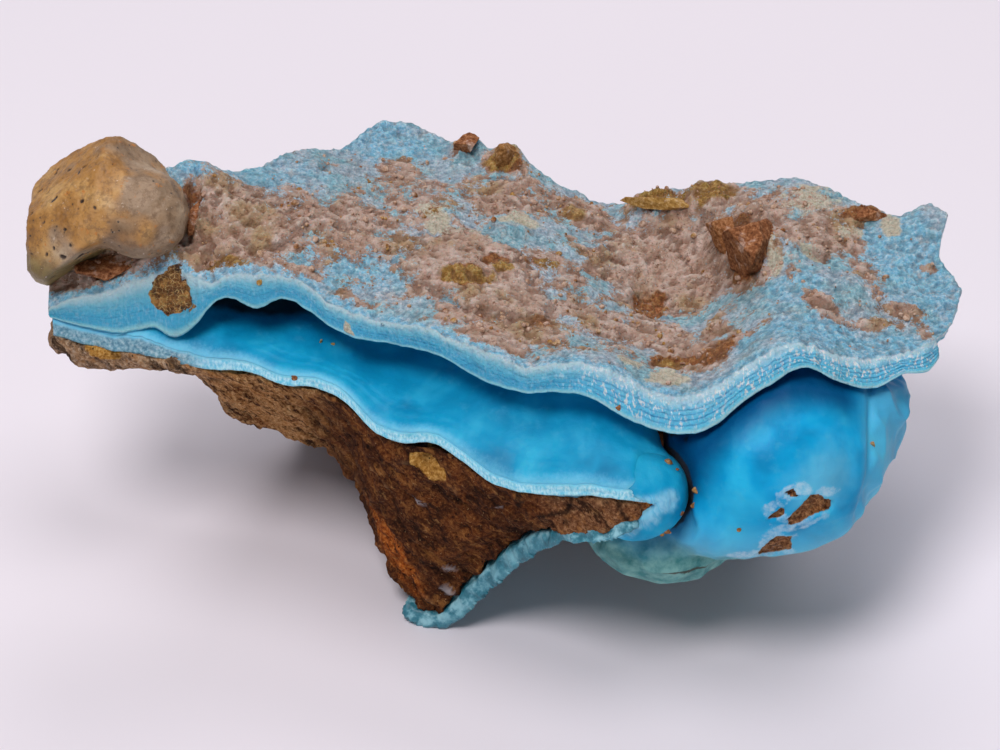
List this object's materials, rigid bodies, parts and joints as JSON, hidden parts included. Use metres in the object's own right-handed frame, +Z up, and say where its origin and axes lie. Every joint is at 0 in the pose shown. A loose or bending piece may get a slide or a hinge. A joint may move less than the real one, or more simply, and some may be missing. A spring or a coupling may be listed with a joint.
{
  "type": "hemimorphite specimen",
  "caption": "Blue hemimorphite mineral specimen: a wavy banded crust over a cavity, a smooth lower crust, a rounded side lobe, a brown matrix wedge and a corner stone.",
  "frame": {"origin": "bottom centre of the whole specimen's bounding box, on the surface it stands on", "axes": "X along the specimen's length with the corner stone at -X and the rounded lobe at +X, Y away from the broken front rim, Z up"},
  "size_m": [0.0972, 0.058, 0.0452],
  "materials": {
    "upper_crust": "sparkly banded blue crystal crust",
    "lower_crust": "smooth glossy blue",
    "under_crust": "pale teal translucent coat",
    "lower_matrix": "rough earthy red-brown",
    "right_lobe": "smooth glossy blue, teal below",
    "corner_stone": "dull tan and ochre",
    "roof_matrix_left": "rough earthy pink-brown",
    "roof_matrix_middle": "rough earthy brown",
    "roof_matrix_right": "rough earthy brown"
  },
  "bodies": {
    "root": {"upper_crust": "upper_crust", "lower_crust": "lower_crust", "under_crust": "under_crust", "lower_matrix": "lower_matrix", "right_lobe": "right_lobe", "corner_stone": "corner_stone", "roof_matrix_left": "roof_matrix_left", "roof_matrix_middle": "roof_matrix_middle", "roof_matrix_right": "roof_matrix_right"}
  },
  "joints": []
}
